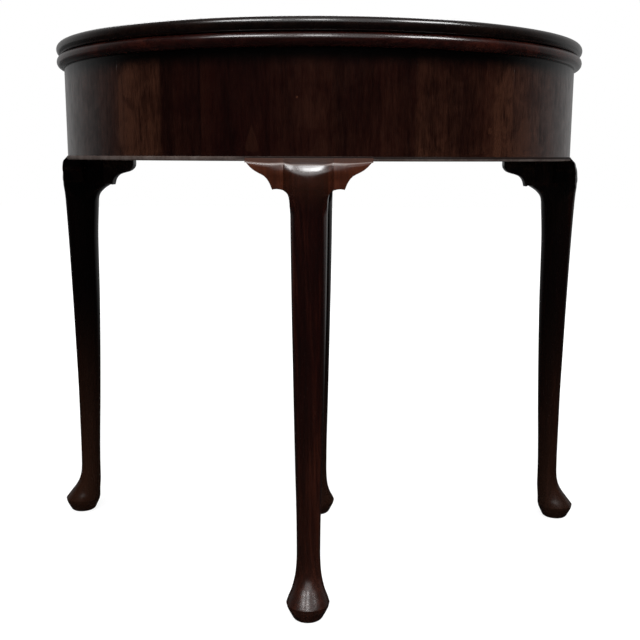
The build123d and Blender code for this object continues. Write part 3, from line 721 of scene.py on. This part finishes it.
def flat_bracket(name, node, material, side):
    """A flat bracket under the back rail, beside an end leg."""
    middle = (RAIL_BACK + RAIL_FRONT) / 2
    back, front = middle - FLAT_EAR_HALF, middle + FLAT_EAR_HALF
    columns = []
    for out, drop in BACK_OUTLINE:
        x = side * (CORE_RADIUS - POST_DEPTH - out)
        low = APRON_BOTTOM - drop
        columns.append([(x, back, APRON_BOTTOM), (x, back, low), (x, front, low), (x, front, APRON_BOTTOM)])
    piece = new_piece(name, grid_shell(columns), material)
    hand_over(piece, "frame", "mahogany", node, 0.6, 2, 30.0)


# Leaves. Side is 1 for what lies above the fold and -1 for what lies below it.

def leaf_piece(name, node, body, material, bottom, side):
    """A half-round leaf with a full nose, a bed for the cloth and rooms for the hinges."""
    nose = LEAF_THICKNESS / 2
    profile = [(ring, 0.0) for ring in LEAF_RINGS]
    for step in range(25):
        turn = -math.pi / 2 + math.pi * step / 24
        profile.append((LEAF_RADIUS - nose + nose * math.cos(turn), nose + nose * math.sin(turn)))
    profile += [(ring, LEAF_THICKNESS) for ring in reversed(LEAF_RINGS)]
    rows = []
    for step in range(193):
        angle = math.pi + math.pi * step / 192
        c, s = math.cos(angle), math.sin(angle)
        rows.append([(r * c, min(r * s, LEAF_BACK), bottom + z) for r, z in profile])
    piece = new_piece(name, grid_shell(rows), material)
    past_fold = FOLD_LEVEL - side
    bed_floor = FOLD_LEVEL + side * BED_DEPTH
    tools = [half_disc(LEAF_RADIUS - BAIZE_BORDER, -BAIZE_HINGE_BORDER, past_fold, bed_floor)]
    for place in HINGE_PLACES:
        ends = (place - HINGE_LENGTH / 2, place + HINGE_LENGTH / 2)
        tools.append(box_mesh(ends, PLATE_ROOM, sorted((past_fold, FOLD_LEVEL + side * PLATE_DEPTH))))
        tools.append(rod_mesh(KNUCKLE_ROOM, ends, FOLD_LEVEL))
    cut(piece, tools)
    hand_over(piece, body, "mahogany", node, 0.3)


def half_disc(radius, back, near, far):
    """A flat half disc between two levels, in front of a straight back line."""
    start = math.asin(-back / radius)
    loop = []
    for step in range(129):
        angle = math.pi + start + (math.pi - 2 * start) * step / 128
        loop.append((radius * math.cos(angle), radius * math.sin(angle)))
    return grid_shell([[(x, y, level) for x, y in loop] for level in sorted((near, far))])


def rod_mesh(radius, ends, level):
    loop = [(radius * math.cos(math.tau * n / 32), radius * math.sin(math.tau * n / 32)) for n in range(32)]
    return grid_shell([[(x, a, level + b) for a, b in loop] for x in ends])


def cloth_piece(name, node, body, material, side):
    """The glued cloth, a little clear of the fold, with soft edges."""
    near = FOLD_LEVEL + side * (BED_DEPTH - CLOTH_THICKNESS)
    far = FOLD_LEVEL + side * BED_DEPTH
    mesh = half_disc(LEAF_RADIUS - BAIZE_BORDER - 0.1, -BAIZE_HINGE_BORDER - 0.05, near, far)
    piece = new_piece(name, mesh, material)
    ease_edges(piece, 0.25)
    stand_in(piece, body, node)


# Bent strips: veneer sheets, bead and brick courses follow the apron's curve

def new_group(name, **sockets):
    """A geometry tree with named inputs, given by kind, and the identifier of each."""
    tree = bpy.data.node_groups.new(name, "GeometryNodeTree")
    names = {}
    for kind, labels in sockets.items():
        for label in labels:
            socket = tree.interface.new_socket(name=label, in_out="INPUT", socket_type=f"NodeSocket{kind}")
            names[label] = socket.identifier
    tree.interface.new_socket(name="Geometry", in_out="OUTPUT", socket_type="NodeSocketGeometry")
    bench = Bench(tree)
    return tree, names, bench, bench.add("NodeGroupInput")


def bent_strip_tree():
    """Geometry nodes: a row of blocks, bent about the table's centre."""
    tree, names, bench, given = new_group(
        "bent_strip", Int=("Blocks", "Segments", "Layers"),
        Float=("First angle", "Pitch", "Least angle", "Greatest angle", "Joint", "Inner radius",
               "Outer radius", "Bottom", "Height", "Bulge"),
        Material=("Finish",))
    block = bench.add("GeometryNodeMeshCube", {
        "Size": (1.0, 1.0, 1.0), "Vertices X": given.part("Segments"), "Vertices Y": 2,
        "Vertices Z": given.part("Layers")})
    centred = bench.add("GeometryNodeTransform", {"Geometry": block, "Translation": (0.5, 0.0, 0.0)})
    spots = bench.add("GeometryNodeMeshLine", {
        "Count": given.part("Blocks"), "Offset": (1.0, 0.0, 0.0)}, mode="OFFSET")
    row = bench.add("GeometryNodeInstanceOnPoints", {"Points": spots, "Instance": centred})
    real = bench.add("GeometryNodeRealizeInstances", {"Geometry": row})
    along, across, up = bench.axes(bench.add("GeometryNodeInputPosition"))
    raw = given.part("First angle") + along * given.part("Pitch")
    angle = raw.most(given.part("Least angle")).least(given.part("Greatest angle"))
    depth = across + 0.5
    bow = (1.0 - 4.0 * up * up).most(0.0) ** 0.5 * given.part("Bulge") * depth
    inner = given.part("Inner radius")
    radius = inner + depth * (given.part("Outer radius") - inner) + bow
    placed = bench.add("ShaderNodeCombineXYZ", {
        "X": radius * angle.cosine(), "Y": radius * angle.sine(),
        "Z": given.part("Bottom") + (up + 0.5) * given.part("Height")})
    bent = bench.add("GeometryNodeSetPosition", {"Geometry": real, "Position": placed})
    merged = bench.add("GeometryNodeMergeByDistance", {
        "Geometry": bent, "Distance": given.part("Joint")})
    finished = bench.add("GeometryNodeSetMaterial", {"Geometry": merged, "Material": given.part("Finish")})
    bench.add("NodeGroupOutput", {"Geometry": finished})
    return tree, names


def grown(name, tree, names, values, start=None):
    """Runs a geometry tree on a fresh object and keeps the result as a plain mesh."""
    piece = place_object(name, start or bpy.data.meshes.new("start"))
    nodes = piece.modifiers.new("grown", "NODES")
    nodes.node_group = tree
    for label, value in values.items():
        nodes[names[label]] = value
    return settle(piece)


def strip_piece(name, node, material, slot, radii, level, height, angles, edge, blocks=1,
                limits=(-400.0, 400.0), bulge=0.0, layers=2, segments=60):
    """A veneer sheet, a bead or a course of bricks."""
    first, last, least, greatest = [math.radians(angle) for angle in (*angles, *limits)]
    piece = grown(name, *STRIPS, {
        "Blocks": blocks, "Segments": segments, "Layers": layers, "First angle": first,
        "Pitch": (last - first) / blocks, "Least angle": least, "Greatest angle": greatest,
        "Joint": 0.00002, "Inner radius": radii[0], "Outer radius": radii[1], "Bottom": level,
        "Height": height, "Bulge": bulge, "Finish": material})
    mesh = piece.data
    for point in mesh.vertices:
        point.co.y = min(point.co.y, END_LEG_BACK)
    tidy_mesh(mesh, 0.001)
    mesh.transform(TO_FRAME)
    smooth(mesh, 35.0)
    hand_over(piece, "frame", slot, node, edge, 1)


# Screws, as head width, shank, head height and length

PLATE_SCREW = (5.0, 2.6, 1.4, 16.0)
BLOCK_SCREW = (9.0, 4.5, 3.0, 32.0)
RAIL_SCREW = (9.0, 4.5, 3.0, 62.0)


def screw_tree():
    """Geometry nodes: slotted countersunk screws on points, each turned its own way."""
    tree, names, bench, given = new_group(
        "slotted_screws", Geometry=("Places",), Float=("Head", "Shank", "Head height", "Length", "Slot"),
        Int=("Seed",), Material=("Finish",))
    head, tall, slot = given.part("Head"), given.part("Head height"), given.part("Slot")
    shank, long = given.part("Shank") * 0.5, given.part("Length")

    def shifted(shape, height):
        move = bench.add("ShaderNodeCombineXYZ", {"Z": height})
        return bench.add("GeometryNodeTransform", {"Geometry": shape, "Translation": move})

    taper = shifted(bench.add("GeometryNodeMeshCone", {
        "Vertices": 28, "Radius Top": head * 0.5, "Radius Bottom": shank, "Depth": tall}), -1.0 * tall)
    body = shifted(bench.add("GeometryNodeMeshCylinder", {
        "Vertices": 20, "Radius": shank, "Depth": long - tall}), (long + tall) * -0.5)
    size = bench.add("ShaderNodeCombineXYZ", {"X": head * 2.0, "Y": slot, "Z": slot * 2.0})
    blade = bench.add("GeometryNodeMeshCube", {"Size": size})
    slotted = bench.add("GeometryNodeMeshBoolean", {
        "Mesh 1": taper, "Mesh 2": blade}, operation="DIFFERENCE", solver="EXACT")
    whole = bench.add("GeometryNodeJoinGeometry", {"Geometry": [slotted, body]})
    aim = bench.add("GeometryNodeInputNamedAttribute", {"Name": "aim"}, data_type="FLOAT_VECTOR")
    aligned = bench.add("FunctionNodeAlignRotationToVector", {"Vector": aim}, axis="Z")
    spin = bench.add("FunctionNodeRandomValue", {
        2: 0.0, 3: 3.1, "Seed": given.part("Seed")}, 1, data_type="FLOAT")
    turn = bench.add("FunctionNodeAxisAngleToRotation", {"Axis": (0.0, 0.0, 1.0), "Angle": spin})
    turned = bench.add("FunctionNodeRotateRotation", {
        "Rotation": aligned, "Rotate By": turn}, rotation_space="LOCAL")
    row = bench.add("GeometryNodeInstanceOnPoints", {
        "Points": given.part("Places"), "Instance": whole, "Rotation": turned})
    real = bench.add("GeometryNodeRealizeInstances", {"Geometry": row})
    finished = bench.add("GeometryNodeSetMaterial", {"Geometry": real, "Material": given.part("Finish")})
    bench.add("NodeGroupOutput", {"Geometry": finished})
    return tree, names


def screws_piece(name, node, body, material, places, aim, sizes, seed):
    """Screws at places about the circle's centre. Aim is the way that their heads face."""
    start = bpy.data.meshes.new("places")
    start.from_pydata([TO_FRAME @ Vector(place) for place in places], [], [])
    layer = start.attributes.new("aim", "FLOAT_VECTOR", "POINT")
    layer.data.foreach_set("vector", aim * len(places))
    values = dict(zip(("Head", "Shank", "Head height", "Length"), (size * MM for size in sizes)))
    piece = grown(name, *SCREWS, {**values, "Slot": MM, "Seed": seed, "Finish": material}, start)
    smooth(piece.data, 30.0)
    stand_in(piece, body, node)


# Making the table

LEG_POLISH = {"light_share": 0.55, "wear": 0.7, "scuff": 1.0, "painted_knee_light_and_coat": 1.0}
LEAF_POLISH = {"grain": "x", "gloss": 0.24, "coat": 0.85, "haze_coat": 0.19, "shine": 0.2}
# One mahogany in lit and shaded copies: the legs' and brackets' ground shades differ partly by the wood's own
# tone and partly by painted light and shade, lightest on the front leg's brackets, then the front leg, darker
# on the right and gate legs, darkest on the left leg and the end brackets.
front_wood = polished_wood(
    "front_leg_mahogany", 1.0, (0.0055, 0.0007, 0.0005), (0.0145, 0.0017, 0.001), (0.065, 0.014, 0.0055),
    coat=0.85, haze_coat=0.18, coat_ior=1.78, shin_brown=0.13, **LEG_POLISH)
ear_wood = polished_wood(
    "ear_mahogany", 6.1, (0.026, 0.0045, 0.0021), (0.056, 0.0112, 0.0046), (0.105, 0.029, 0.0115),
    haze_coat=0.3, **LEG_POLISH)
side_wood_tone_and_shade = polished_wood(
    "side_leg_mahogany", 3.3, (0.0022, 0.0005, 0.0003), (0.0065, 0.0012, 0.0007), (0.034, 0.0095, 0.0044),
    coat=0.42, wear=0.3, scuff=1.0, shin_brown=0.24)
end_wood_tone_and_shade = polished_wood(
    "end_leg_mahogany", 2.4, (0.0009, 0.0002, 0.0002), (0.002, 0.0003, 0.0003), (0.008, 0.0014, 0.0008),
    light_share=0.4, coat=0.3, shine=0.2, wear=0.25, scuff=0.3, shin_brown=0.4)
upper_wood = polished_wood(
    "upper_leaf_mahogany", 4.2, (0.0014, 0.0003, 0.0003), (0.0028, 0.0006, 0.0005), (0.014, 0.004, 0.002),
    light_share=0.4, **LEAF_POLISH)
lower_wood = polished_wood(
    "lower_leaf_mahogany", 5.3, (0.0065, 0.0005, 0.0004), (0.018, 0.0016, 0.0011), (0.046, 0.0085, 0.004),
    light_share=0.75, **LEAF_POLISH)
# The bead's pale grey ground is partly a duller, worn finish and partly a painted sheen of the light that its
# rounded face catches.
bead_wood = polished_wood(
    "bead_mahogany", 7.7, (0.08, 0.062, 0.056), (0.15, 0.122, 0.112), (0.21, 0.18, 0.165),
    gloss=0.45, coat=0.0, shine=0.08, bead_top_dark=1.0)
oak = dry_wood("dry_oak", "x", (0.06, 0.034, 0.018), (0.16, 0.095, 0.05), 1.3)
upright_pine = dry_wood("aged_pine", "x", (0.11, 0.066, 0.032), (0.27, 0.17, 0.085), 2.6, 22.0)
long_pine = dry_wood("aged_pine_lengthwise", "y", (0.11, 0.066, 0.032), (0.26, 0.165, 0.085), 3.1, 22.0)
baize = woollen_cloth("green_baize")
brass = old_metal("dulled_brass", (0.44, 0.29, 0.1), (0.15, 0.095, 0.04), 0.32, 0.6)
steel = old_metal("old_steel", (0.3, 0.29, 0.27), (0.12, 0.105, 0.09), 0.4, 0.7)
iron = old_metal("dark_iron", (0.1, 0.09, 0.085), (0.05, 0.03, 0.02), 0.5, 0.8)

STRIPS = bent_strip_tree()
SCREWS = screw_tree()

leaf_piece("lower_leaf", "fixed_leaf", "frame", lower_wood, APRON_TOP, -1)
leaf_piece("upper_leaf", "flap_leaf", "flap", upper_wood, FOLD_LEVEL, 1)
cloth_piece("lower_cloth", "fixed_leaf_baize", "frame", baize, -1)
cloth_piece("upper_cloth", "flap_baize", "flap", baize, 1)

leg_piece("leg_front", "front_leg", front_wood, -90)
leg_piece("leg_right", "right_leg", side_wood_tone_and_shade, -END_LEG_ANGLE)
leg_piece("leg_left", "left_leg", end_wood_tone_and_shade, END_LEG_ANGLE - 180)
leg_piece("leg_gate", "gate_leg", side_wood_tone_and_shade, None, GATE_TOP, "gate")

bracket_piece("ear_front_right", "front_leg_right_bracket", ear_wood, -90, False)
bracket_piece("ear_front_left", "front_leg_left_bracket", ear_wood, -90, True)
bracket_piece("ear_right_front", "right_leg_front_bracket", end_wood_tone_and_shade, -END_LEG_ANGLE, True)
bracket_piece("ear_left_front", "left_leg_front_bracket", end_wood_tone_and_shade, END_LEG_ANGLE - 180, False)
flat_bracket("ear_left_back", "left_leg_back_bracket", end_wood_tone_and_shade, -1)
flat_bracket("ear_right_back", "right_leg_back_bracket", end_wood_tone_and_shade, 1)
bracket_piece("gate_ear", "gate_bracket", side_wood_tone_and_shade)

SEAMS = (0.0, 0.279, 0.39, 0.462, 0.607, 0.729, 1.0)
SEAM_GAP = 0.004
for number, (start, end) in enumerate(zip(SEAMS, SEAMS[1:]), 1):
    sheet_wood = polished_wood(
        f"veneer_{number}", 10.0 + 3.3 * (number - 1), (0.004, 0.0004, 0.0004), (0.0084, 0.0009, 0.0007),
        (0.045, 0.0155, 0.008), coat=0.5, gloss=0.18, haze=0.04, wear=0.0, run=0.11, banded=True)
    ends = (180 * start - 180 + SEAM_GAP, 180 * end - 180 - SEAM_GAP)
    strip_piece(f"veneer_{number}", f"veneer_sheet_{number}", sheet_wood, "veneer", VENEER,
                SLOPE_TOP, APRON_TOP - SLOPE_TOP, ends, 0.02)
for side, ends in (("left", (-180.0, -90.0)), ("right", (-90.0, 0.0))):
    strip_piece(f"bead_{side}", f"{side}_apron_bead", bead_wood, "mahogany", VENEER,
                APRON_BOTTOM, BEAD_HEIGHT, ends, 0.1, bulge=BEAD_PROUD, layers=9, segments=120)
COURSE = (APRON_TOP - APRON_BOTTOM) / 3
CORE_ENDS = (END_LEG_ANGLE - 180, -END_LEG_ANGLE)
BRICK = (CORE_ENDS[1] - CORE_ENDS[0]) / 16
for number, course in enumerate(("bottom", "middle", "top")):
    blocks, over = (9, BRICK) if course == "middle" else (8, 0.0)
    strip_piece(f"bricks_{course}", f"{course}_brick_course", upright_pine, "pine", (CORE_INNER, CORE_RADIUS),
                APRON_BOTTOM + number * COURSE + 0.05, COURSE - 0.1,
                (CORE_ENDS[0] - over, CORE_ENDS[1] + over), 0.4, blocks, CORE_ENDS, segments=12)

for node, name, material, slot, width, body in (
        ("fly_rail", "rail_fly", oak, "oak", 0.8, "gate"),
        ("knuckle_rail", "rail_knuckle", oak, "oak", 0.8, "frame"),
        ("stop_rail", "rail_stop", oak, "oak", 0.8, "frame"),
        ("inner_back_rail", "rail_inner", oak, "oak", 0.8, "frame"),
        ("medial_rail", "rail_medial", long_pine, "pine", 0.8, "frame"),
        ("rail_spacers", "spacers", upright_pine, "pine", 0.8, "frame"),
        ("glue_blocks", "blocks", upright_pine, "pine", 1.0, "frame"),
        ("gate_pegs", "pegs", oak, "oak", 0.4, "gate"),
        ("gate_hinge_pin", "pin_gate", iron, "iron", 0.4, "frame")):
    worn_copy(node, name, material, width, body, slot)
for side in ("left", "right"):
    worn_copy(f"{side}_hinge_pin", f"pin_{side}", steel, 0.2, "frame", "steel")
for half, body in (("fixed", "frame"), ("flap", "flap")):
    for side in ("left", "right"):
        worn_copy(f"{side}_hinge_{half}_plate", f"plate_{side}_{half}", brass, 0.12, body, "brass")

PLATE_SCREW_STEPS = (-22.0, 0.0, 22.0)
PLATE_SCREW_DEPTH = 8.0
for name, node, body, side, seed in (("screws_fixed", "fixed_plate_screws", "frame", -1, 3),
                                     ("screws_flap", "flap_plate_screws", "flap", 1, 8)):
    spots = [(place + step, LEAF_BACK, FOLD_LEVEL + side * PLATE_SCREW_DEPTH)
             for place in HINGE_PLACES for step in PLATE_SCREW_STEPS]
    screws_piece(name, node, body, brass, spots, (0.0, 1.0, 0.0), PLATE_SCREW, seed)
BLOCK_RADIUS = CORE_INNER - 11.0
BLOCK_SHARES = (0.13, 0.41, 0.69)
BLOCK_BOTTOM = 670.0
INNER_RAIL_FRONT = -113.5
rail_end = math.degrees(math.asin(INNER_RAIL_FRONT / CORE_INNER))
block_angles = [rail_end + (-90.0 - rail_end) * share for share in BLOCK_SHARES]
block_angles += [-180.0 - angle for angle in block_angles]
spots = [(BLOCK_RADIUS * math.cos(math.radians(a)), BLOCK_RADIUS * math.sin(math.radians(a)), BLOCK_BOTTOM)
         for a in block_angles]
screws_piece("screws_top", "top_screws", "frame", iron, spots, (0.0, 0.0, -1.0), BLOCK_SCREW, 5)
RAIL_SCREW_PLACES = (-284.0, -103.725, 284.0)
RAIL_SCREW_LEVELS = (604.0, 654.0)
spots = [(x, RAIL_BACK, level) for x in RAIL_SCREW_PLACES for level in RAIL_SCREW_LEVELS]
screws_piece("screws_rail", "rail_screws", "frame", iron, spots, (0.0, 1.0, 0.0), RAIL_SCREW, 11)

# Floor, light and camera

WHITE = (1.0, 1.0, 1.0, 1.0)


def seen_rays(bench):
    """Which rays come from the camera, and which show the room in gloss and glass."""
    rays = bench.add("ShaderNodeLightPath")
    return rays, rays.part("Is Camera Ray"), rays.part("Is Glossy Ray").most(rays.part("Is Transmission Ray"))


floor_mesh = bpy.data.meshes.new("floor")
floor_mesh.from_pydata([(-9, -9, 0), (9, -9, 0), (9, 9, 0), (-9, 9, 0)], [], [(0, 1, 2, 3)])
floor = place_object("floor", floor_mesh)
floor_paint, bench = new_material("pale_floor")
_, from_camera, mirrored = seen_rays(bench)
spot = bench.own_place()
across, back, _ = bench.axes(spot)
far_side, right_side = back.rise(0.5, 2.2), 0.3 + 0.7 * across.rise(-0.4, 1.0)
away = bench.add("ShaderNodeVectorMath", {0: spot}, "Value", operation="LENGTH").rise(0.7, 1.6)
grit = bench.noise(spot, 2.0, 3.0)
paint = bench.add("ShaderNodeBsdfDiffuse", {
    "Color": bench.blend((0.29, 0.29, 0.29), (0.31, 0.31, 0.31), grit)})
glow = bench.add("ShaderNodeEmission", {"Color": WHITE, "Strength": (0.83 + 0.2 * away) * from_camera})
lit = bench.add("ShaderNodeAddShader", {0: paint, 1: glow})
reflected = bench.add("ShaderNodeEmission", {
    "Color": WHITE, "Strength": 0.012 + 0.17 * far_side * right_side})
both = bench.add("ShaderNodeMixShader", {0: mirrored, 1: lit, 2: reflected})
underneath = bench.add("ShaderNodeNewGeometry", None, "Backfacing")
one_way = bench.add("ShaderNodeMixShader", {
    0: underneath, 1: both, 2: bench.add("ShaderNodeBsdfTransparent")})
bench.add("ShaderNodeOutputMaterial", {"Surface": one_way})
floor_mesh.materials.append(floor_paint)

world = bpy.data.worlds.new("studio")
bpy.context.scene.world = world
world.use_nodes = True
world.node_tree.nodes.clear()
bench = Bench(world.node_tree)
rays, from_camera, mirrored = seen_rays(bench)
toward = bench.add("ShaderNodeTexCoord", None, "Generated")
behind = bench.axes(toward)[1].rise(-0.2, 0.9) * 0.93
high_front = bench.add("ShaderNodeVectorMath", {
    0: toward, 1: (0.0, -0.53, 0.85)}, "Value", operation="DOT_PRODUCT")
room = (0.01 + 0.27 * behind).most(0.9 * high_front.rise(0.78, 0.99))
level = from_camera.most(mirrored * room).most(rays.part("Is Diffuse Ray") * 0.42)
back = bench.add("ShaderNodeBackground", {"Color": WHITE, "Strength": level})
bench.add("ShaderNodeOutputWorld", {"Surface": back})


def soft_lamp(name, place, aim, size, power):
    lamp = bpy.data.lights.new(name, "AREA")
    lamp.shape, lamp.size, lamp.size_y, lamp.energy = "RECTANGLE", *size, power
    holder = place_object(name, lamp)
    holder.location = place
    holder.rotation_euler = (Vector(aim) - Vector(place)).to_track_quat("-Z", "Y").to_euler()


PANEL_REACH = 3.0
PANEL_HEIGHT = 4.0
for side, bearing, width, power in (
        ("left", -36, 1.6, 84.0), ("middle", 1, 0.7, 37.0), ("right", 59, 1.7, 112.0)):
    turn = math.radians(bearing)
    place = (PANEL_REACH * math.sin(turn), -PANEL_REACH * math.cos(turn), PANEL_HEIGHT)
    soft_lamp(f"panel_{side}", place, (0.0, -0.1, 0.6), (width, 1.1), power)
soft_lamp("low_panel", (0.3, -4.0, 3.1), (0.0, -0.1, 0.5), (4.0, 1.2), 16.0)
soft_lamp("back_panel", (-0.5, 3.6, 3.3), (0.0, 0.0, 0.5), (3.0, 1.4), 46.0)

camera_data = bpy.data.cameras.new("camera")
camera_data.sensor_width, camera_data.lens, camera_data.clip_end = 36.0, 52.1, 60.0
camera = place_object("camera", camera_data)
camera.location = (0.0464, CENTRE_Y - 1.4657, 0.5707)
pitch, turn, roll = math.radians(10.07), math.radians(1.72), math.radians(0.2)
camera.rotation_euler = (Matrix.Rotation(turn, 3, "Z") @ Matrix.Rotation(math.pi / 2 - pitch, 3, "X")
                         @ Matrix.Rotation(roll, 3, "Z")).to_euler()
bpy.context.scene.camera = camera
bpy.context.scene.view_settings.view_transform = "Standard"
